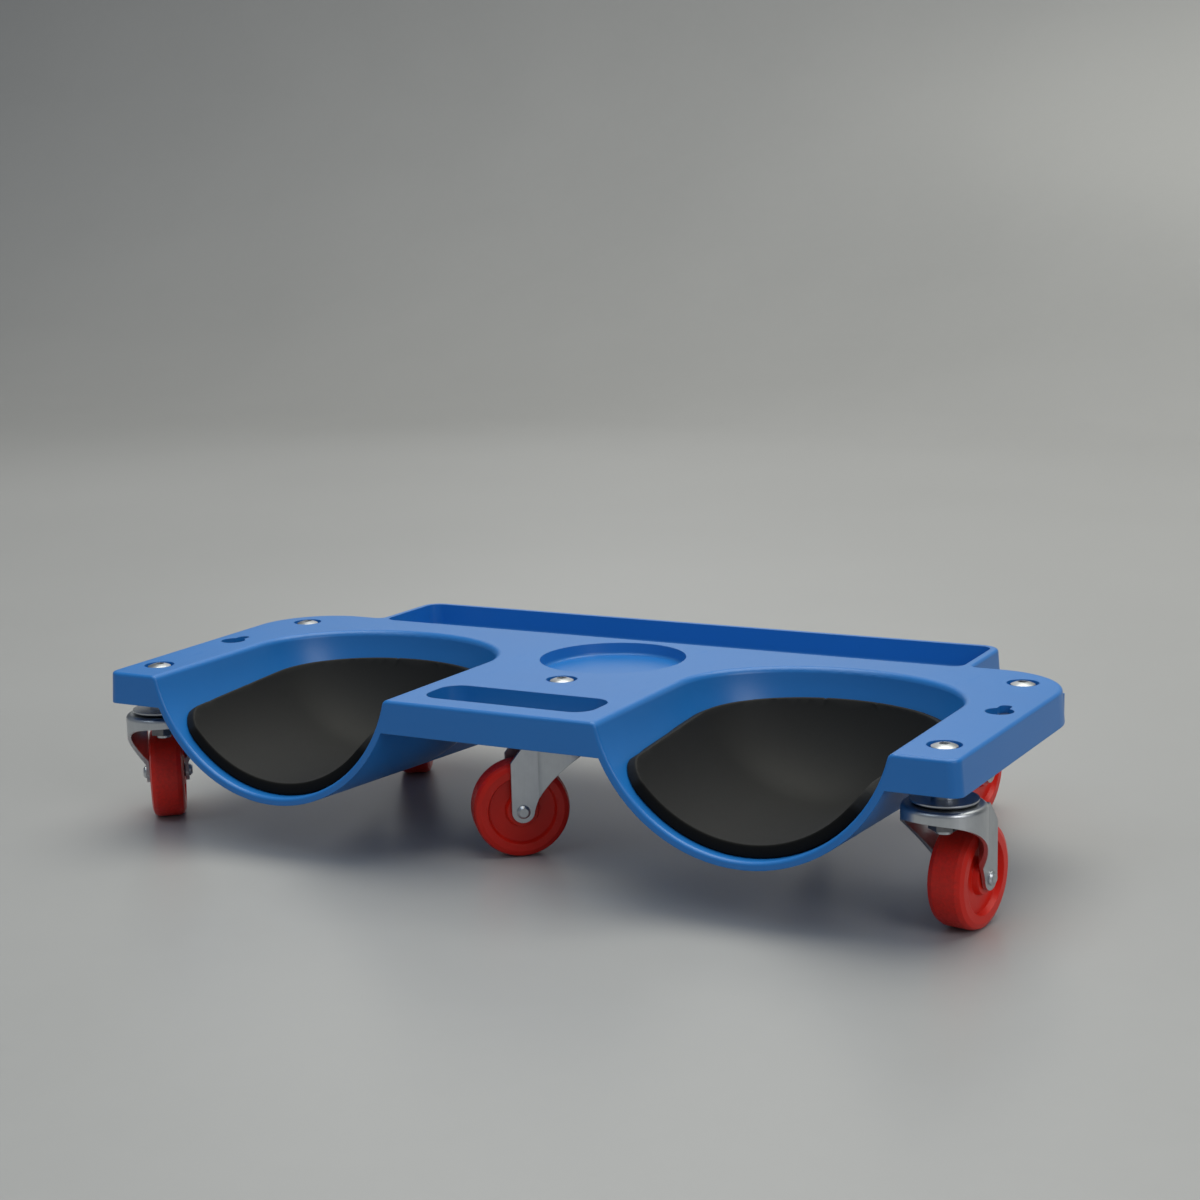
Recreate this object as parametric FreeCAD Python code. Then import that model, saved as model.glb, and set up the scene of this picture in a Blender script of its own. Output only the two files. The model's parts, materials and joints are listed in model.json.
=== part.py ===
import FreeCAD, Part
import math
import os

# Rolling kneeler: a moulded deck with two padded knee troughs on five swivel casters.
# Millimetres. X runs to the right, Y runs from the open front to the tool tray, Z is up.
# The origin is on the floor, below the middle of the deck.

# Deck and skirt
deck_height = 96.0
body_depth = 250.0
front_half_width = 250.0
rear_half_width = 256.5
shoulder_from_front = 191.5
front_corner_r = 6.0
shoulder_corner_r = 44.0
skirt_height = 18.0
skirt_flare = 1.5
skirt_wall = 3.5
deck_thickness = 4.0
top_edge_r = 1.8

# Knee troughs: round channels that dip to the rear and close with a domed end
arm_width = 31.6
trough_r = 78.4
trough_axis_above_deck = 17.1
trough_dip_deg = 3.0
trough_run = 102.0
trough_end_length = 60.0
trough_wall = 4.3
trough_rim_r = 3.5
dome_rib_offset = 30.0
dome_outer_rib_reach = 48.0

# Knee pads
pad_thickness = 6.5
pad_clearance = 0.3
pad_below_deck = 13.5
pad_setback = 7.0
pad_corner_r = 14.0

# Tool tray behind the shoulders
shoulder_shelf = 62.5
tray_wall = 4.5
tray_front_overlap = 3.5
tray_depth = 14.0
tray_floor = 3.0
tray_corner_r = 12.0
tray_notch_r = 4.0
tray_floor_r = 2.0

# Round parts dish
dish_from_front = 139.5
dish_r = 41.7
dish_depth = 7.0
dish_floor = 3.0
dish_draft_deg = 8.0
dish_floor_r = 2.0

# Hand slot
slot_end_land = 11.3
slot_front_from_front = 15.0
slot_back_from_front = 47.0
slot_corner_r = 11.0
slot_wall = 3.0

# Wall keyholes on the arms
keyhole_inset = 11.2
keyhole_from_front = 98.2
keyhole_r = 7.2
keyhole_slot_half_width = 3.2
keyhole_reach = 13.5

# Underside ribs and bolt bosses
rib_thickness = 3.0
rib_drop = 11.0
boss_r = 10.0
head_recess_r = 8.5
head_recess_depth = 3.0

# Bolt and caster places, from the edges, and the way each wheel trails at rest
front_stem_inset = 15.0
front_stem_from_front = 25.9
centre_stem_from_front = 80.0
rear_stem_inset = 15.0
rear_stem_behind_tray_front = 19.0
shoulder_bolt_inset = 25.3
shoulder_bolt_from_front = 163.3
front_right_trail_deg = 81.0
front_left_trail_deg = 128.5
centre_trail_deg = 219.0
rear_right_trail_deg = 85.0
rear_left_trail_deg = 298.0

# Caster wheel and axle
wheel_r = 26.5
wheel_width = 19.0
wheel_shoulder_r = 3.5
wheel_hub_r = 8.5
wheel_rim_inner_r = 19.0
wheel_recess = 3.0
wheel_draft = 1.0
trail = 25.0
axle_r = 2.5
axle_head_r = 3.7
axle_head_height = 1.9
axle_head_ease = 1.2
bush_wall = 1.5

# Caster fork and swivel head, heights above the floor
fork_inner_width = 20.6
fork_sheet = 2.0
fork_leg_end_r = 6.2
fork_crown_r = 20.5
fork_leg_top = 64.2
fork_shoulder = 54.0
fork_shoulder_in = 8.0
fork_front_bow = 7.5
fork_band_bottom = 62.5
crown_rim_top = 68.4
crown_cup_r = 15.0
crown_edge_r = 2.5
caster_height = 70.7
race_r = 16.5
race_thickness = 1.5
ball_ring_r = 12.2

# Bolts
bolt_r = 4.0
bolt_head_r = 6.5
bolt_head_height = 4.0
bolt_head_crown = 1.6
bolt_socket_flats = 5.0
bolt_socket_depth = 2.4
bolt_tail = 2.0
spacer_r = 6.5
nut_flats = 13.0
nut_height = 6.5
nut_flange_r = 8.5
nut_flange = 1.5

# Fits
running_fit = 0.06
bolt_hole_fit = 0.2
seat_gap = 0.3

# Derived places and levels
front_y = -body_depth / 2
trough_x = front_half_width - arm_width - trough_r
tray_half_width = rear_half_width - shoulder_shelf
tray_front_from_front = shoulder_from_front - tray_front_overlap
slot_half_length = trough_x - trough_r - slot_end_land
keyhole_x = front_half_width - keyhole_inset
front_stem_x = front_half_width - front_stem_inset
shoulder_bolt_x = rear_half_width - shoulder_bolt_inset
rear_stem_x = tray_half_width - rear_stem_inset
rear_stem_from_front = tray_front_from_front + rear_stem_behind_tray_front
deck_top = deck_height
deck_under = deck_top - deck_thickness
skirt_bottom = deck_top - skirt_height
tray_floor_top = deck_top - tray_depth
stem_seat = tray_floor_top - tray_floor
head_seat = deck_top - head_recess_depth
fork_plate_under = fork_leg_top - fork_sheet
race_under = caster_height - race_thickness


def vec(x, y, z=0.0):
    return FreeCAD.Vector(x, y, z)


def rounded_wire(corners, z):
    # Closed outline through (x, y, radius) corners; a radius of zero leaves a corner sharp.
    points = [vec(x, y, z) for x, y, r in corners]
    count = len(points)
    edges = []
    ends = []
    for i, (x, y, r) in enumerate(corners):
        here = points[i]
        back = (points[i - 1] - here).normalize()
        ahead = (points[(i + 1) % count] - here).normalize()
        half = back.getAngle(ahead) / 2
        start = here + back * (r / math.tan(half))
        end = here + ahead * (r / math.tan(half))
        if r > 0:
            middle = here + (back + ahead).normalize() * (r / math.sin(half) - r)
            edges.append(Part.Arc(start, middle, end).toShape())
        ends.append((start, end))
    for i in range(count):
        edges.append(Part.LineSegment(ends[i - 1][1], ends[i][0]).toShape())
    return Part.Wire(Part.sortEdges(edges)[0])


def prism(wire, height):
    return Part.Face(wire).extrude(vec(0, 0, height))


def rounded_box(half_x, y_low, y_high, r, z_low, z_high):
    corners = [(half_x, y_low, r), (half_x, y_high, r), (-half_x, y_high, r), (-half_x, y_low, r)]
    return prism(rounded_wire(corners, z_low), z_high - z_low)


def block(x_low, x_high, y_low, y_high, z_low, z_high):
    return Part.makeBox(x_high - x_low, y_high - y_low, z_high - z_low, vec(x_low, y_low, z_low))


def post(x, y, r, z_low, z_high):
    return Part.makeCylinder(r, z_high - z_low, vec(x, y, z_low))


def hexagon(flats, z_low, z_high):
    point = vec(flats / math.sqrt(3), 0, z_low)
    ring = [FreeCAD.Rotation(vec(0, 0, 1), 60 * turn).multVec(point) for turn in range(7)]
    return prism(Part.makePolygon(ring), z_high - z_low)


def turned(profile):
    # Solid of revolution about Z from (radius, z) points.
    points = [vec(r, 0, z) for r, z in profile]
    face = Part.Face(Part.makePolygon(points + points[:1]))
    return face.revolve(vec(0, 0), vec(0, 0, 1), 360)


def mirrored(shape):
    return shape.mirror(vec(0, 0), vec(1, 0))


def along(edge):
    first, last = edge.ParameterRange
    return [edge.valueAt(first + (last - first) * step / 4) for step in range(5)]


def lies_on(edge, shape):
    return all(shape.distToShape(Part.Vertex(p))[0] < 0.01 for p in along(edge))


def at_deck_top(edge):
    return all(abs(p.z - deck_top) < 0.01 for p in along(edge))


def deck_outline(grow, front_inset, corner_r, z):
    shoulder = front_y + shoulder_from_front + grow
    back = front_y + body_depth + grow
    tray = tray_half_width + grow
    right = [
        (front_half_width + grow, front_y + front_inset, corner_r),
        (rear_half_width + grow, shoulder, shoulder_corner_r + grow),
        (tray, shoulder, tray_notch_r - grow),
        (tray, back, tray_corner_r + grow),
    ]
    left = [(-x, y, r) for x, y, r in reversed(right)]
    return rounded_wire(right + left, z)


def deck_pan():
    # Deck plate with its flared skirt, open below.
    low = deck_outline(skirt_flare, 0, front_corner_r, skirt_bottom)
    high = deck_outline(0, 0, front_corner_r, deck_top)
    outer = Part.makeLoft([low, high], True, True)
    inner_r = front_corner_r - skirt_wall
    low = deck_outline(skirt_flare - skirt_wall, skirt_wall, inner_r, skirt_bottom)
    high = deck_outline(-skirt_wall, skirt_wall, inner_r, deck_under)
    return outer.cut(Part.makeLoft([low, high], True, True))


def trough_form(grow, lead):
    # Channel of revolution about its own dipping axis, with a half-ellipse end.
    r = trough_r + grow
    end = trough_end_length + grow
    if r >= end:
        ellipse = Part.Ellipse(vec(r, trough_run), vec(0, trough_run + end), vec(0, trough_run))
        arc = Part.ArcOfEllipse(ellipse, 0, math.pi / 2)
    else:
        ellipse = Part.Ellipse(vec(0, trough_run + end), vec(-r, trough_run), vec(0, trough_run))
        arc = Part.ArcOfEllipse(ellipse, 1.5 * math.pi, 2 * math.pi)
    edges = [
        Part.LineSegment(vec(0, trough_run + end), vec(0, -lead)).toShape(),
        Part.LineSegment(vec(0, -lead), vec(r, -lead)).toShape(),
        Part.LineSegment(vec(r, -lead), vec(r, trough_run)).toShape(),
        arc.toShape(),
    ]
    form = Part.Face(Part.Wire(edges)).revolve(vec(0, 0), vec(0, 1), 360)
    form.rotate(vec(0, 0), vec(1, 0), -trough_dip_deg)
    form.translate(vec(trough_x, front_y, deck_top + trough_axis_above_deck))
    return form


def trough_shell():
    # Outer wall of the right trough, cut off at the deck and at the front face.
    reach = trough_r + trough_wall
    room = block(trough_x - reach, trough_x + reach, front_y, -front_y, 0, deck_top)
    return trough_form(trough_wall, reach).common(room)


def troughed_deck():
    # Deck with both channels cut. Each rim is rounded first, so that the rounding of the outer
    # edge then runs from the deck over the rims and down round the lips in one line.
    trough = trough_shell()
    channel = trough_form(0, trough_r)
    channels = [channel, mirrored(channel)]
    deck = deck_pan().fuse([trough, mirrored(trough)]).cut(channels).removeSplitter()
    walls = Part.makeCompound([c.Shells[0] for c in channels])
    deck = deck.makeFillet(trough_rim_r, [e for e in deck.Edges if at_deck_top(e) and lies_on(e, walls)])
    back = [e for e in deck.Edges if at_deck_top(e) and all(p.y > -front_y - 0.01 for p in along(e))]
    return deck.makeFillet(top_edge_r, back)


def dome_ribs():
    # Two webs under the domed end that carry on the line of the channel's floor. The one next to
    # the middle meets the tray, and the outer one stops short of the rear wheel's sweep.
    to_tray = (tray_front_from_front - trough_run) / math.cos(math.radians(trough_dip_deg))
    webs = []
    for side, reach in ((-1, to_tray), (1, dome_outer_rib_reach)):
        line = Part.makeCylinder(trough_r + trough_wall, reach, vec(0, trough_run), vec(0, 1))
        line.rotate(vec(0, 0), vec(1, 0), -trough_dip_deg)
        line.translate(vec(trough_x, front_y, deck_top + trough_axis_above_deck))
        low = trough_x + side * dome_rib_offset - rib_thickness / 2
        webs.append(block(low, low + rib_thickness, front_y, -front_y, 0, deck_under).common(line))
    return webs


def tray_recess():
    half = tray_half_width - tray_wall
    low = front_y + tray_front_from_front
    high = front_y + body_depth - tray_wall
    r = tray_corner_r - tray_wall
    recess = rounded_box(half, low, high, r, tray_floor_top, deck_top)
    bottom = [f for f in recess.Faces if f.CenterOfMass.z < tray_floor_top + 0.01]
    return recess.makeFillet(tray_floor_r, bottom[0].OuterWire.Edges)


def tray_block():
    half = tray_half_width - tray_wall / 2
    low = front_y + tray_front_from_front - skirt_wall
    high = front_y + body_depth - tray_wall / 2
    return rounded_box(half, low, high, tray_corner_r - tray_wall / 2, stem_seat, deck_top)


def dish_recess():
    low_r = dish_r - dish_depth * math.tan(math.radians(dish_draft_deg))
    cone = Part.makeCone(low_r, dish_r, dish_depth, vec(0, front_y + dish_from_front, deck_top - dish_depth))
    bottom = [f for f in cone.Faces if f.CenterOfMass.z < deck_top - dish_depth + 0.01]
    return cone.makeFillet(dish_floor_r, bottom[0].OuterWire.Edges)


def slot_prism(grow, z_low, z_high):
    low = front_y + slot_front_from_front - grow
    high = front_y + slot_back_from_front + grow
    return rounded_box(slot_half_length + grow, low, high, slot_corner_r + grow, z_low, z_high)


def keyhole():
    y = front_y + keyhole_from_front
    hole = post(keyhole_x, y, keyhole_r, skirt_bottom, deck_top)
    low = keyhole_x - keyhole_slot_half_width
    high = keyhole_x + keyhole_slot_half_width
    tip = y + keyhole_reach - keyhole_slot_half_width
    neck = block(low, high, y, tip, skirt_bottom, deck_top)
    end = post(keyhole_x, tip, keyhole_slot_half_width, skirt_bottom, deck_top)
    return hole.fuse([neck, end])


def deck_bolt_places():
    front = front_y + front_stem_from_front
    shoulder = front_y + shoulder_bolt_from_front
    return {
        "front_left": (-front_stem_x, front),
        "front_right": (front_stem_x, front),
        "centre": (0.0, front_y + centre_stem_from_front),
        "shoulder_left": (-shoulder_bolt_x, shoulder),
        "shoulder_right": (shoulder_bolt_x, shoulder),
    }


def tray_bolt_places():
    y = front_y + rear_stem_from_front
    return {"rear_left": (-rear_stem_x, y), "rear_right": (rear_stem_x, y)}


def right_ribs():
    # Webs below the right half of the deck, from bolt boss to wall.
    low = deck_under - rib_drop
    half = rib_thickness / 2
    front_boss = front_y + front_stem_from_front
    shoulder_boss = front_y + shoulder_bolt_from_front
    key_low = front_y + keyhole_from_front - 2 * keyhole_r
    key_high = front_y + keyhole_from_front + keyhole_reach + keyhole_r
    tray_front = front_y + tray_front_from_front
    dome_back = front_y + trough_run
    dish_y = front_y + dish_from_front
    side = rear_half_width - skirt_wall
    return [
        block(front_stem_x - half, front_stem_x + half, front_boss, key_low, low, deck_under),
        block(shoulder_bolt_x - half, shoulder_bolt_x + half, key_high, shoulder_boss, low, deck_under),
        block(trough_x + trough_r, side, shoulder_boss - half, shoulder_boss + half, low, deck_under),
        block(trough_x - half, trough_x + half, dome_back, tray_front, low, deck_under),
        block(dish_r, trough_x - dome_rib_offset, dish_y - half, dish_y + half, low, deck_under),
    ]


def centre_ribs():
    low = deck_under - rib_drop
    half = rib_thickness / 2
    y = front_y + centre_stem_from_front
    dish_front = front_y + dish_from_front - dish_r + dish_floor
    slot_back = front_y + slot_back_from_front + slot_wall / 2
    reach = trough_x - trough_r
    return [
        block(-reach, reach, y - half, y + half, low, deck_under),
        block(-half, half, slot_back, dish_front, low, deck_under),
    ]


def body_shell():
    # The webs end inside the troughs' walls, so the channels stay smooth.
    hollow = trough_form(trough_wall / 2, trough_r)
    hollows = [hollow, mirrored(hollow)]
    webs = dome_ribs() + right_ribs()
    webs += [mirrored(w) for w in webs] + centre_ribs()
    added = [web.cut(hollows) for web in webs]
    added += [tray_block(), slot_prism(slot_wall, skirt_bottom, deck_under)]
    dish_low = deck_top - dish_depth - dish_floor
    added.append(post(0, front_y + dish_from_front, dish_r + dish_floor, dish_low, deck_under))
    for x, y in deck_bolt_places().values():
        added.append(post(x, y, boss_r, stem_seat, deck_under))
    shell = troughed_deck().fuse(added)

    hole = keyhole()
    cuts = [tray_recess(), dish_recess(), slot_prism(0, 0, deck_top), hole, mirrored(hole)]
    for x, y in deck_bolt_places().values():
        cuts.append(post(x, y, head_recess_r, head_seat, deck_top))
        cuts.append(post(x, y, bolt_r + bolt_hole_fit, 0, deck_top))
    for x, y in tray_bolt_places().values():
        cuts.append(post(x, y, bolt_r + bolt_hole_fit, 0, deck_top))
    return shell.cut(cuts).removeSplitter()


def knee_pad():
    # Foam lining of the right trough: even thickness, level top edge, rounded front corners.
    outer = trough_form(-pad_clearance, trough_r)
    inner = trough_form(-pad_clearance - pad_thickness, trough_r)
    front = front_y + pad_setback
    top = deck_top - pad_below_deck
    back = -front_y
    corner = vec(0, front + pad_corner_r * (1 - math.sqrt(0.5)), top - pad_corner_r * (1 - math.sqrt(0.5)))
    edges = [
        Part.LineSegment(vec(0, front, 0), vec(0, back, 0)).toShape(),
        Part.LineSegment(vec(0, back, 0), vec(0, back, top)).toShape(),
        Part.LineSegment(vec(0, back, top), vec(0, front + pad_corner_r, top)).toShape(),
        Part.Arc(vec(0, front + pad_corner_r, top), corner, vec(0, front, top - pad_corner_r)).toShape(),
        Part.LineSegment(vec(0, front, top - pad_corner_r), vec(0, front, 0)).toShape(),
    ]
    side_view = Part.Face(Part.Wire(edges)).extrude(vec(2 * trough_x, 0))
    return outer.cut(inner).common(side_view)


def deck_bolt(seat, tail):
    # Domed socket-head bolt on the Z axis, with its seat under the head.
    top = seat + bolt_head_height
    rim = top - bolt_head_crown
    dome_r = (bolt_head_r ** 2 + bolt_head_crown ** 2) / (2 * bolt_head_crown)
    head = post(0, 0, bolt_head_r, seat, top)
    dome = Part.makeSphere(dome_r, vec(0, 0, rim + bolt_head_crown - dome_r))
    head = head.common(dome.fuse(post(0, 0, bolt_head_r, seat, rim)))
    bolt = head.fuse(post(0, 0, bolt_r, tail, seat))
    return bolt.cut(hexagon(bolt_socket_flats, top - bolt_socket_depth, top)).removeSplitter()


def flange_nut(top):
    r = bolt_r + running_fit
    body = hexagon(nut_flats, top - nut_height, top - nut_flange)
    body = body.fuse(post(0, 0, nut_flange_r, top - nut_flange, top))
    return body.cut(post(0, 0, r, top - nut_height, top))


def spacer():
    tube = post(0, 0, spacer_r, caster_height, stem_seat)
    return tube.cut(post(0, 0, bolt_r + bolt_hole_fit, caster_height, stem_seat))


def top_race():
    # Pressed cap over the balls, with a collar that stands on the fork's floor.
    collar_r = ball_ring_r - (race_under - fork_leg_top) / 2 - seat_gap
    low = fork_leg_top + seat_gap
    bore = bolt_r + bolt_hole_fit
    return turned([
        (bore, low), (collar_r, low), (collar_r, race_under), (race_r - race_thickness / 2, race_under),
        (race_r, race_under + race_thickness / 2), (race_r, caster_height), (bore, caster_height),
    ])


def ball_ring():
    # One ring in the raceway in place of the row of balls.
    low = fork_leg_top + seat_gap
    high = race_under - seat_gap
    half = (high - low) / 2
    flat = half * math.tan(math.radians(22.5))
    middle = (high + low) / 2
    section = [(half, flat), (flat, half), (-flat, half), (-half, flat)]
    section += [(-out, -up) for out, up in section]
    return turned([(ball_ring_r + out, middle + up) for out, up in section])


def fork_side_view():
    # Outline of the fork from the side: crown, sloping shoulder, round axle end and bowed front edge.
    front = -fork_crown_r
    back = trail + fork_leg_end_r
    neck = back - fork_shoulder_in
    base = wheel_r - fork_leg_end_r
    heel = vec(front, 0, fork_band_bottom)
    toe = vec(trail - fork_leg_end_r, 0, wheel_r)
    chord = toe - heel
    across = vec(-chord.z, 0, chord.x).normalize()
    waist = heel + chord * 0.5 + across * fork_front_bow
    corners = [
        heel, vec(front, 0, crown_rim_top), vec(neck, 0, crown_rim_top), vec(neck, 0, fork_leg_top),
        vec(back, 0, fork_shoulder), vec(back, 0, wheel_r),
    ]
    edges = Part.makePolygon(corners).Edges
    edges.append(Part.Arc(corners[-1], vec(trail, 0, base), toe).toShape())
    edges.append(Part.Arc(toe, waist, heel).toShape())
    view = Part.Face(Part.Wire(edges)).extrude(vec(0, 2 * fork_crown_r))
    view.translate(vec(0, -fork_crown_r))
    return view


def fork():
    # Pressed fork that trails along +X: a round crown whose wall runs into two flat legs.
    half_in = fork_inner_width / 2
    half_out = half_in + fork_sheet
    back = trail + fork_leg_end_r
    base = wheel_r - fork_leg_end_r
    crown = post(0, 0, fork_crown_r, base, crown_rim_top)
    rim = [e for e in crown.Edges if e.BoundBox.ZMin > fork_leg_top]
    outer = crown.makeFillet(crown_edge_r, rim).fuse(block(0, back, -half_out, half_out, base, fork_leg_top))
    inner = post(0, 0, fork_crown_r - fork_sheet, base, fork_plate_under)
    inner = inner.fuse(block(0, back, -half_in, half_in, base, fork_plate_under))
    cup = post(0, 0, crown_cup_r, fork_leg_top, crown_rim_top)
    bore = post(0, 0, bolt_r + running_fit, base, crown_rim_top)
    axle_start = vec(trail, -half_out, wheel_r)
    axle_hole = Part.makeCylinder(axle_r + running_fit, 2 * half_out, axle_start, vec(0, 1))
    return outer.cut([inner, cup, bore, axle_hole]).common(fork_side_view()).removeSplitter()


def on_axle(shape):
    # Moves a solid turned about Z onto the axle, which runs along Y.
    shape.rotate(vec(0, 0), vec(1, 0), -90)
    shape.translate(vec(trail, 0, wheel_r))
    return shape


def wheel():
    bore = axle_r + running_fit + bush_wall + running_fit
    half = wheel_width / 2
    web = half - wheel_recess
    ease = wheel_shoulder_r
    cut = ease * (1 - math.sqrt(0.5))
    right = [
        (bore, half), (wheel_hub_r, half), (wheel_hub_r + wheel_draft, web),
        (wheel_rim_inner_r - wheel_draft, web), (wheel_rim_inner_r, half), (wheel_r - ease, half),
        (wheel_r - cut, half - cut), (wheel_r, half - ease),
    ]
    left = [(r, -z) for r, z in reversed(right)]
    return on_axle(turned(right + left))


def wheel_bush():
    half = fork_inner_width / 2
    bore = axle_r + running_fit
    tube = post(0, 0, bore + bush_wall, -half, half)
    return on_axle(tube.cut(post(0, 0, bore, -half, half)))


def axle_end():
    # Profile of the low domed end that both sides of the axle show.
    outside = fork_inner_width / 2 + fork_sheet
    top = outside + axle_head_height
    rim = outside + axle_head_height - axle_head_ease
    return [(axle_head_r, outside), (axle_head_r, rim), (axle_head_r - axle_head_ease, top)], outside, top


def axle_bolt():
    dome, outside, top = axle_end()
    head = turned([(0, outside)] + dome + [(0, top)])
    return on_axle(head.fuse(post(0, 0, axle_r, -top, outside)))


def axle_cap():
    # Ring pressed on the plain end of the axle.
    dome, outside, top = axle_end()
    bore = axle_r + running_fit
    ring = turned([(bore, outside)] + dome + [(bore, top)])
    return on_axle(ring.mirror(vec(0, 0), vec(0, 0, 1)))


def export(shape, name):
    shape.exportStep("parts/" + name + ".step")


def main():
    os.makedirs("parts", exist_ok=True)
    export(body_shell(), "body_shell")
    pad = knee_pad()
    export(pad, "right_knee_pad")
    export(mirrored(pad), "left_knee_pad")

    tail = fork_plate_under - seat_gap - nut_height - bolt_tail
    fixed = {"stem_spacer": spacer(), "top_race": top_race(),
             "stem_nut": flange_nut(fork_plate_under - seat_gap)}
    turning = {"ball_ring": ball_ring(), "fork": fork(), "wheel": wheel(), "wheel_bush": wheel_bush(),
               "axle_bolt": axle_bolt(), "axle_cap": axle_cap()}
    trails = {
        "front_left": front_left_trail_deg,
        "front_right": front_right_trail_deg,
        "centre": centre_trail_deg,
        "rear_left": rear_left_trail_deg,
        "rear_right": rear_right_trail_deg,
    }
    deck_bolts = deck_bolt_places()
    tray_bolts = tray_bolt_places()
    for place, angle in trails.items():
        seat = head_seat if place in deck_bolts else tray_floor_top
        x, y = deck_bolts[place] if place in deck_bolts else tray_bolts[place]
        bolt = deck_bolt(seat, tail)
        bolt.translate(vec(x, y))
        export(bolt, place + "_stem_bolt")
        for name, shape in {**fixed, **turning}.items():
            copy = shape.copy()
            copy.rotate(vec(0, 0), vec(0, 0, 1), angle)
            copy.translate(vec(x, y))
            export(copy, place + "_" + name)

    bolts = []
    nuts = []
    for place in ("shoulder_left", "shoulder_right"):
        x, y = deck_bolts[place]
        bolt = deck_bolt(head_seat, stem_seat - nut_height - bolt_tail)
        nut = flange_nut(stem_seat)
        bolt.translate(vec(x, y))
        nut.translate(vec(x, y))
        bolts.append(bolt)
        nuts.append(nut)
    export(Part.makeCompound(bolts), "shoulder_bolts")
    export(Part.makeCompound(nuts), "shoulder_nuts")


main()
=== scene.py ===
import json
import math
import bmesh
import bpy
from mathutils import Matrix, Vector


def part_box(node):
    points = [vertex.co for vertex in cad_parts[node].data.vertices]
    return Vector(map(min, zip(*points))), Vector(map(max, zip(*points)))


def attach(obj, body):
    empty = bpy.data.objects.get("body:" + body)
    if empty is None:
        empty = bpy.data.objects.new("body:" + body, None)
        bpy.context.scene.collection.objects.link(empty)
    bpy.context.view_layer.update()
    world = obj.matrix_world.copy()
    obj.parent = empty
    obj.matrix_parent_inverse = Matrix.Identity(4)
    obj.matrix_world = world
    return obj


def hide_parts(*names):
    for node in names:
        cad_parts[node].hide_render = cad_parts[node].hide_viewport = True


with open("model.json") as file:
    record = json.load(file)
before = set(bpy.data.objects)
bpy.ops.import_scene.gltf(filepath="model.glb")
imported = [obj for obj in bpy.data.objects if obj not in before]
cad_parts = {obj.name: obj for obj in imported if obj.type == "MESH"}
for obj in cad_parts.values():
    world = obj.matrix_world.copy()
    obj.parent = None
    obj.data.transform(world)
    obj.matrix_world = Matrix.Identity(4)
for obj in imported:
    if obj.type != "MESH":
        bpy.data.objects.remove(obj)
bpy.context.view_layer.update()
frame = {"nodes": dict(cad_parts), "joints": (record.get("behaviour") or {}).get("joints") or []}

nodes = frame["nodes"]
scene = bpy.context.scene
casterPlaces = ["front_left", "front_right", "centre", "rear_left", "rear_right"]
print("frame loaded:", len(nodes), "nodes")


class Tone:  # a socket in a material; sums on tones add Math nodes
    def __init__(self, tree, socket=None):
        self.tree = tree
        self.socket = socket

    def node(self, kind, settings, sockets, out=0):
        made = self.tree.nodes.new(kind)
        for name, value in settings.items():
            setattr(made, name, value)
        for name, value in sockets.items():
            if isinstance(value, Tone):
                self.tree.links.new(value.socket, made.inputs[name])
            else:
                made.inputs[name].default_value = value
        return Tone(self.tree, made.outputs[out])

    def maths(self, operation, *values):
        return self.node("ShaderNodeMath", {"operation": operation}, dict(enumerate(values)))

    def __add__(self, other):
        return self.maths("ADD", self, other)

    def __mul__(self, other):
        return self.maths("MULTIPLY", self, other)

    __radd__ = __add__
    __rmul__ = __mul__

    def mixColour(self, low, high):  # this tone is the factor; colours are sockets 6 and 7, out 2
        return self.node("ShaderNodeMix", {"data_type": "RGBA"}, {0: self, 6: low, 7: high}, 2)

    def span(self, low, high, newLow=0.0, newHigh=1.0):
        sockets = {"Value": self, "From Min": low, "From Max": high,
                   "To Min": newLow, "To Max": newHigh}
        return self.node("ShaderNodeMapRange", {"clamp": True}, sockets)


def startMaterial(name, fixed):
    made = bpy.data.materials.new(name)
    made.use_nodes = True
    shader = made.node_tree.nodes["Principled BSDF"]
    for socket, value in fixed.items():  # numbers that are the same all over the surface
        shader.inputs[socket].default_value = value
    tone = Tone(made.node_tree)
    place = tone.node("ShaderNodeTexCoord", {}, {}, "Object")
    return made, shader, tone, place


def feed(shader, **inputs):
    targets = {"colour": "Base Color", "rough": "Roughness", "normal": "Normal"}
    for name, tone in inputs.items():
        tone.tree.links.new(tone.socket, shader.inputs[targets[name]])


def noise(tone, place, scale=1.0, detail=2.0, roughness=0.5, stretch=None):
    if stretch:
        place = tone.node("ShaderNodeMapping", {}, {"Vector": place, "Scale": stretch}, "Vector")
    sockets = {"Vector": place, "Scale": scale, "Detail": detail, "Roughness": roughness}
    return tone.node("ShaderNodeTexNoise", {}, sockets, "Fac")


def cellDistance(tone, place, scale):
    return tone.node("ShaderNodeTexVoronoi", {}, {"Vector": place, "Scale": scale}, "Distance")


edgeSamples = 4


def bumped(tone, height, look):  # a bump, on hard edges that look rounded
    edge = tone.node("ShaderNodeBevel", {"samples": edgeSamples}, {"Radius": look["edge"]})
    sockets = {"Height": height, "Distance": look["bumpDepth"], "Strength": look["bumpStrength"],
               "Normal": edge}
    return tone.node("ShaderNodeBump", {}, sockets)


shellLook = {
    "deep": (0.011, 0.155, 0.49, 1), "light": (0.016, 0.188, 0.57, 1),
    "fixed": {"Specular IOR Level": 0.5},
    "cloud": {"scale": 9.0, "detail": 3.0},
    "flow": {"stretch": (14.0, 60.0, 60.0), "detail": 4.0},
    "grain": {"scale": 2600.0},
    "scuff": {"stretch": (160.0, 34.0, 90.0), "detail": 6.0, "roughness": 0.65},
    "scuffSpan": (0.60, 0.78), "scuffHeight": 0.3, "cloudShare": 0.7, "flowShare": 0.3,
    "rough": 0.29, "roughCloud": 0.06, "roughGrain": 0.04, "roughScuff": 0.06,
    "bumpDepth": 0.00006, "bumpStrength": 0.35, "edge": 0.0006,
}


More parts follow.
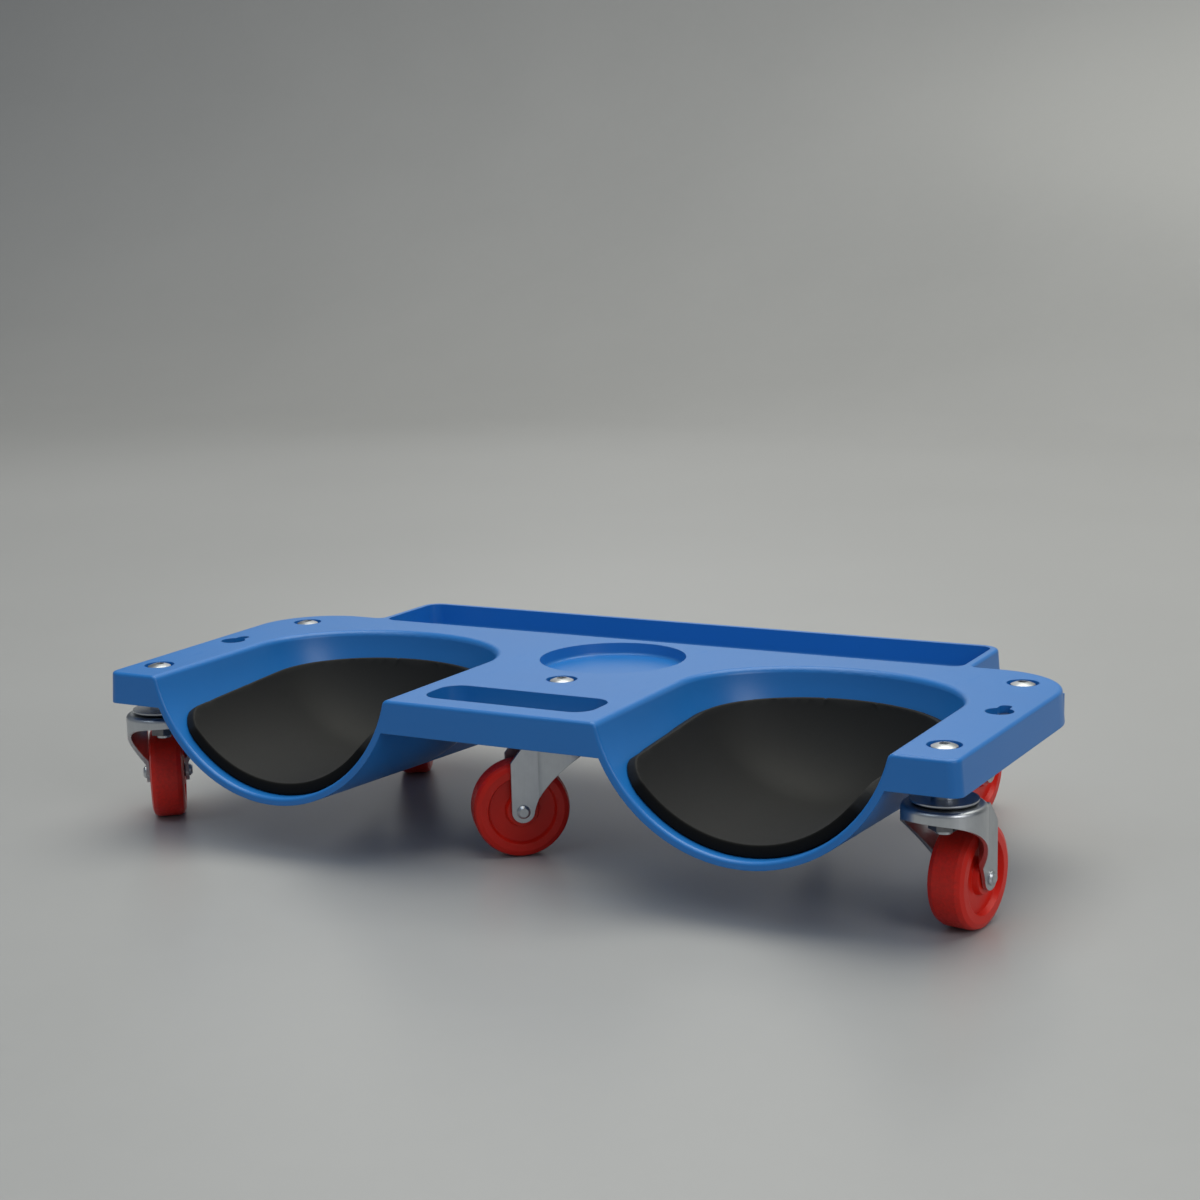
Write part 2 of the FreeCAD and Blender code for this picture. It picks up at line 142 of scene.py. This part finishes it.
def shellPlastic():
    look = shellLook
    made, shader, tone, place = startMaterial("bluePlastic", look["fixed"])
    cloud = noise(tone, place, **look["cloud"])
    flow = noise(tone, place, **look["flow"])
    grain = noise(tone, place, **look["grain"])
    scuff = noise(tone, place, **look["scuff"]).span(*look["scuffSpan"])
    blend = cloud * look["cloudShare"] + flow * look["flowShare"]
    rough = (look["rough"] + cloud * look["roughCloud"] + grain * look["roughGrain"]
             + scuff * look["roughScuff"])
    feed(shader, colour=blend.mixColour(look["deep"], look["light"]), rough=rough,
         normal=bumped(tone, grain + scuff * look["scuffHeight"], look))
    return made


zincLook = {
    "dark": (0.42, 0.44, 0.47, 1), "light": (0.66, 0.68, 0.70, 1),
    "fixed": {"Metallic": 1.0},
    "patch": {"scale": 90.0, "detail": 4.0, "roughness": 0.6},
    "brush": {"stretch": (900.0, 900.0, 60.0), "detail": 3.0},
    "spangleScale": 420.0, "patchShare": 0.75, "brushShare": 0.25,
    "rough": 0.28, "roughPatch": 0.08, "roughSpangle": 0.05,
    "bumpDepth": 0.00004, "bumpStrength": 0.25, "edge": 0.0004,
}


def zincSteel():
    look = zincLook
    made, shader, tone, place = startMaterial("brightZinc", look["fixed"])
    patch = noise(tone, place, **look["patch"])
    brush = noise(tone, place, **look["brush"])
    spangle = cellDistance(tone, place, look["spangleScale"])
    blend = patch * look["patchShare"] + brush * look["brushShare"]
    feed(shader, colour=blend.mixColour(look["dark"], look["light"]),
         rough=look["rough"] + patch * look["roughPatch"] + spangle * look["roughSpangle"],
         normal=bumped(tone, brush, look))
    return made


bearingLook = {
    "dark": (0.10, 0.10, 0.11, 1), "light": (0.26, 0.26, 0.27, 1),
    "fixed": {"Metallic": 1.0},
    "smear": {"scale": 160.0, "detail": 4.0, "roughness": 0.6},
    "rough": 0.30, "roughSmear": 0.2,
    "bumpDepth": 0.00004, "bumpStrength": 0.2, "edge": 0.0003,
}


def bearingSteel():
    look = bearingLook
    made, shader, tone, place = startMaterial("greasedSteel", look["fixed"])
    smear = noise(tone, place, **look["smear"])
    feed(shader, colour=smear.mixColour(look["dark"], look["light"]),
         rough=look["rough"] + smear * look["roughSmear"], normal=bumped(tone, smear, look))
    return made


wheelLook = {
    "deep": (0.66, 0.012, 0.006, 1), "light": (0.82, 0.022, 0.010, 1),
    "worn": (0.44, 0.020, 0.014, 1), "wornShare": 0.55,
    "fixed": {"Specular IOR Level": 0.35},
    "cloud": {"scale": 60.0, "detail": 3.0},
    "grit": {"scale": 520.0, "detail": 5.0, "roughness": 0.7},
    "gritSpan": (0.35, 0.65), "gritHeight": 0.2,
    "treadStart": 0.0012, "treadFull": 0.0002,  # below the wheel's radius
    "rough": 0.30, "roughCloud": 0.06, "roughWear": 0.22,
    "bumpDepth": 0.00012, "bumpStrength": 0.35, "edge": 0.0006,
}


def wheelPlastic(name, centre, axis, radius):
    look = wheelLook
    made, shader, tone, place = startMaterial(name, look["fixed"])
    fromHub = tone.node("ShaderNodeMapping", {}, {"Vector": place, "Location": -centre}, "Vector")
    across = tone.node("ShaderNodeVectorMath", {"operation": "CROSS_PRODUCT"},
                       {0: fromHub, 1: axis}, "Vector")
    out = tone.node("ShaderNodeVectorMath", {"operation": "LENGTH"}, {0: across}, "Value")
    grit = noise(tone, place, **look["grit"])
    cloud = noise(tone, place, **look["cloud"])
    # Wear where the wheel meets the floor
    tread = out.span(radius - look["treadStart"], radius - look["treadFull"])
    wear = tread * grit.span(*look["gritSpan"])
    plain = cloud.mixColour(look["deep"], look["light"])
    feed(shader, colour=(wear * look["wornShare"]).mixColour(plain, look["worn"]),
         rough=look["rough"] + cloud * look["roughCloud"] + wear * look["roughWear"],
         normal=bumped(tone, grit * (look["gritHeight"] + tread), look))
    return made


foamLook = {
    "dark": (0.007, 0.007, 0.007, 1), "light": (0.013, 0.013, 0.013, 1),
    "cut": (0.0025, 0.0025, 0.0025, 1), "cutFull": 0.0003, "cutEnd": 0.0012,
    "fixed": {"Specular IOR Level": 0.28},
    "cloud": {"scale": 26.0, "detail": 4.0, "roughness": 0.55},
    "rub": {"stretch": (40.0, 14.0, 40.0), "detail": 5.0, "roughness": 0.6},
    "fine": {"scale": 3200.0}, "cellScale": 1500.0,
    "cloudShare": 0.6, "rubShare": 0.4, "cellHeight": 0.7, "fineHeight": 0.5,
    "rough": 0.58, "roughCloud": 0.10, "roughCell": 0.06, "roughFrontEnd": 0.3,
    "bumpDepth": 0.00010, "bumpStrength": 0.35, "edge": 0.0004,
}


def padFoam(frontY):
    look = foamLook
    made, shader, tone, place = startMaterial("darkFoam", look["fixed"])
    along = tone.node("ShaderNodeSeparateXYZ", {}, {"Vector": place}, "Y")
    # Darker, rougher colour over the front end of the foam sheet
    cut = along.span(frontY + look["cutFull"], frontY + look["cutEnd"], 1.0, 0.0)
    cells = cellDistance(tone, place, look["cellScale"])
    cloud = noise(tone, place, **look["cloud"])
    rub = noise(tone, place, **look["rub"])
    fine = noise(tone, place, **look["fine"])
    blend = cloud * look["cloudShare"] + rub * look["rubShare"]
    rough = (look["rough"] + cloud * look["roughCloud"] + cells * look["roughCell"]
             + cut * look["roughFrontEnd"])
    feed(shader, colour=cut.mixColour(blend.mixColour(look["dark"], look["light"]), look["cut"]),
         rough=rough,
         normal=bumped(tone, cells * look["cellHeight"] + fine * look["fineHeight"], look))
    return made


def paint(piece, material):
    piece.data.materials.clear()
    piece.data.materials.append(material)


def finishMesh(bm, name, material, sharpAngle=None):  # smooth, with sharp edges past the angle
    mesh = bpy.data.meshes.new(name)
    bm.to_mesh(mesh)
    bm.free()
    for face in mesh.polygons:
        face.use_smooth = True
    if sharpAngle:
        mesh.set_sharp_from_angle(angle=math.radians(sharpAngle))
    piece = bpy.data.objects.new(name, mesh)
    scene.collection.objects.link(piece)
    paint(piece, material)
    return piece


def roundEdges(bm, edges, offset, segments):
    bmesh.ops.bevel(bm, geom=edges, offset=offset, offset_type="OFFSET", segments=segments,
                    profile=0.5, affect="EDGES", material=-1)


# Finishes on the CAD nodes
zinc = zincSteel()
paint(nodes["body_shell"], shellPlastic())
for name in ("shoulder_bolts", "shoulder_nuts"):
    paint(nodes[name], zinc)
bearing = bearingSteel()
jointOf = {joint["child"]: joint for joint in frame["joints"]}
for place in casterPlaces:
    for part in ("stem_bolt", "stem_spacer", "top_race", "fork", "axle_bolt", "axle_cap"):
        paint(nodes[place + "_" + part], zinc)
    # Dark steel; on the stem nuts it is painted shade, for the wheel's shadow under the fork's
    # crown
    for part in ("ball_ring", "wheel_bush", "stem_nut"):
        paint(nodes[place + "_" + part], bearing)
    spin = jointOf[place + "_roller"]
    low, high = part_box(place + "_wheel")
    red = wheelPlastic("redPlastic_" + place, Vector(spin["pos_m"]), Vector(spin["axis"]),
                       (high[2] - low[2]) / 2)
    paint(nodes[place + "_wheel"], red)
print("finishes set")


# Knee pads: foam that lines each trough, in metres and degrees
pad = {
    "axisX": 0.1400, "axisZ": 0.1131, "frontY": -0.125, "dip": 3.0, "radius": 0.0784,
    "run": 0.102, "runCuts": 15, "endLength": 0.0600, "endTurn": 80, "endSteps": 18,
    "gap": 0.0003, "thickness": 0.0065, "turnSteps": 56,
    "corner": 0.014, "cornerTurns": (0, 15, 30, 45, 60, 75), "rise": 2.2,
    "rim": 0.0010, "rimSegments": 3, "rimAngle": 50, "sharpAngle": 60,
    "weld": 1e-6, "sliver": 0.0006,
}


def kneePad(name, side, body, material):
    low, high = (Vector(c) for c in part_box(name))
    inner = pad["radius"] - pad["gap"] - pad["thickness"]
    end = pad["endLength"] - pad["gap"] - pad["thickness"]
    bm = bmesh.new()
    # A line along the trough that curves in at the rear, spun about the trough's axis
    line = bm.edges.new([bm.verts.new((inner, y, 0.0)) for y in (0.0, pad["run"])])
    bmesh.ops.subdivide_edges(bm, edges=[line], cuts=pad["runCuts"])
    straight = list(bm.verts)
    bend = max(straight, key=lambda v: v.co.y)
    hub = Vector((0.0, pad["run"], 0.0))
    bmesh.ops.spin(bm, geom=[bend], cent=hub, axis=(0, 0, 1),
                   angle=math.radians(pad["endTurn"]), steps=pad["endSteps"])
    arc = [v for v in bm.verts if v not in straight]
    bmesh.ops.scale(bm, vec=(1, end / inner, 1), verts=arc, space=Matrix.Translation(-hub))
    bmesh.ops.spin(bm, geom=bm.verts[:] + bm.edges[:], cent=(0, 0, 0), axis=(0, 1, 0),
                   angle=math.pi, steps=pad["turnSteps"])
    bmesh.ops.remove_doubles(bm, verts=bm.verts, dist=pad["weld"])
    tilt = Matrix.Rotation(math.radians(-pad["dip"]), 4, "X")
    shift = Matrix.Translation((side * pad["axisX"], pad["frontY"], pad["axisZ"]))
    bmesh.ops.transform(bm, matrix=shift @ tilt, verts=bm.verts)
    # Trim to the top edge, which rises to the rear, the front end and the round corner between
    r = pad["corner"]
    drop = (high.y - low.y) * math.tan(math.radians(pad["rise"]))
    for degrees in pad["cornerTurns"] + (90 - pad["rise"],):
        way = Vector((0, -math.cos(math.radians(degrees)), math.sin(math.radians(degrees))))
        point = Vector((0, low.y + r, high.z - drop - r)) + way * r
        bmesh.ops.bisect_plane(bm, geom=bm.verts[:] + bm.edges[:] + bm.faces[:], dist=pad["weld"],
                               plane_co=point, plane_no=way, clear_outer=True)
    bmesh.ops.remove_doubles(bm, verts=bm.verts, dist=pad["sliver"])
    bmesh.ops.recalc_face_normals(bm, faces=bm.faces)
    heart = Vector((side * pad["axisX"], low.y + pad["run"] / 2, pad["axisZ"]))
    for face in bm.faces:  # the knee side faces the trough's axis
        if face.normal.dot(heart - face.calc_center_median()) < 0:
            face.normal_flip()
    bmesh.ops.solidify(bm, geom=bm.faces[:], thickness=pad["thickness"])
    bmesh.ops.recalc_face_normals(bm, faces=bm.faces)
    rimAngle = math.radians(pad["rimAngle"])
    rim = [e for e in bm.edges if len(e.link_faces) == 2 and e.calc_face_angle() > rimAngle]
    roundEdges(bm, rim, pad["rim"], pad["rimSegments"])
    piece = finishMesh(bm, name + "_foam", material, pad["sharpAngle"])
    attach(piece, body)
    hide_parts(name)


foam = padFoam(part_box("right_knee_pad")[0][1])
for name, side in (("left_knee_pad", -1), ("right_knee_pad", 1)):
    kneePad(name, side, "deck", foam)
print("knee pads made")


# Floor, light and camera
room = {
    "half": 20.0, "wallY": 3.2, "wallHeight": 4.0, "curve": 1.2, "curveSegments": 16,
    "pale": (0.350, 0.350, 0.355, 1), "paler": (0.415, 0.414, 0.420, 1),
    "fixed": {"Specular IOR Level": 0.5},
    "cloud": {"scale": 1.6, "detail": 5.0, "roughness": 0.6},
    "fine": {"scale": 60.0, "detail": 4.0, "roughness": 0.6},
    "cloudShare": 0.8, "fineShare": 0.2,
    "rough": 0.285, "roughCloud": 0.08, "roughFine": 0.04,
}


def floorMaterial():
    made, shader, tone, place = startMaterial("paleFloor", room["fixed"])
    cloud = noise(tone, place, **room["cloud"])
    fine = noise(tone, place, **room["fine"])
    blend = cloud * room["cloudShare"] + fine * room["fineShare"]
    feed(shader, colour=blend.mixColour(room["pale"], room["paler"]),
         rough=room["rough"] + cloud * room["roughCloud"] + fine * room["roughFine"])
    return made


def pullEdges(bm, edges, move):
    pulled = bmesh.ops.extrude_edge_only(bm, edges=edges)["geom"]
    bmesh.ops.translate(bm, vec=move,
                        verts=[v for v in pulled if isinstance(v, bmesh.types.BMVert)])


def sweepFloor():
    bm = bmesh.new()
    corners = [bm.verts.new((x, -room["half"], 0)) for x in (-room["half"], room["half"])]
    pullEdges(bm, [bm.edges.new(corners)], (0, room["half"] + room["wallY"], 0))
    back = [e for e in bm.edges if all(v.co.y > 0 for v in e.verts)]
    pullEdges(bm, back, (0, 0, room["wallHeight"]))
    fold = [e for e in bm.edges if all(v.co.y > 0 and v.co.z == 0 for v in e.verts)]
    roundEdges(bm, fold, room["curve"], room["curveSegments"])
    bmesh.ops.recalc_face_normals(bm, faces=bm.faces)
    floor = finishMesh(bm, "paleFloor", floorMaterial())


sweepFloor()

lamps = [
    {"name": "overhead", "at": (0.2, 1.0, 4.6), "to": (0, 0.4, 0), "size": 5.0, "power": 192.0,
     "colour": (1.0, 0.99, 0.88)},
    {"name": "rightSide", "at": (2.3, -1.2, 1.5), "to": (0, 0, 0.05), "size": 1.4, "power": 15.0,
     "colour": (1.0, 1.0, 1.0)},
    {"name": "backGlow", "at": (-0.9, 1.7, 1.1), "to": (0, 0, 0.08), "size": 1.6, "power": 3.0,
     "colour": (1.0, 1.0, 1.0)},
    {"name": "frontTop", "at": (-0.6, -1.2, 2.3), "to": (0, 0, 0.05), "size": 1.5, "power": 10.0,
     "colour": (0.80, 0.92, 1.0)},
]
for lamp in lamps:
    light = bpy.data.lights.new(lamp["name"], "AREA")
    light.shape = "DISK"
    light.size = lamp["size"]
    light.energy = lamp["power"]
    light.color = lamp["colour"]
    holder = bpy.data.objects.new(lamp["name"], light)
    holder.location = lamp["at"]
    aim = Vector(lamp["to"]) - Vector(lamp["at"])
    holder.rotation_euler = aim.to_track_quat("-Z", "Y").to_euler()
    scene.collection.objects.link(holder)

sky = {"colour": (0.74, 0.82, 0.92, 1), "strength": 0.24}
world = bpy.data.worlds.new("studio")
world.use_nodes = True
background = world.node_tree.nodes["Background"]
background.inputs["Color"].default_value = sky["colour"]
background.inputs["Strength"].default_value = sky["strength"]
scene.world = world

shot = {
    "azimuth": 28.522, "elevation": 10.452, "roll": -1.4626, "distance": 1.100,
    "target": (0.01594, -0.02849, 0.13786), "lens": 60.771, "sensor": 36.0, "clipStart": 0.05,
}
camera = bpy.data.cameras.new("photoView")
camera.lens = shot["lens"]
camera.sensor_width = shot["sensor"]
camera.clip_start = shot["clipStart"]
turn = (Matrix.Rotation(math.radians(shot["azimuth"]), 4, "Z")
        @ Matrix.Rotation(math.radians(90 - shot["elevation"]), 4, "X")
        @ Matrix.Rotation(math.radians(shot["roll"]), 4, "Z"))
eye = Vector(shot["target"]) + turn.to_3x3() @ Vector((0, 0, shot["distance"]))
viewer = bpy.data.objects.new("photoView", camera)
viewer.matrix_world = Matrix.Translation(eye) @ turn
scene.collection.objects.link(viewer)
scene.camera = viewer
scene.view_settings.view_transform = "Standard"
print("camera and lights set")
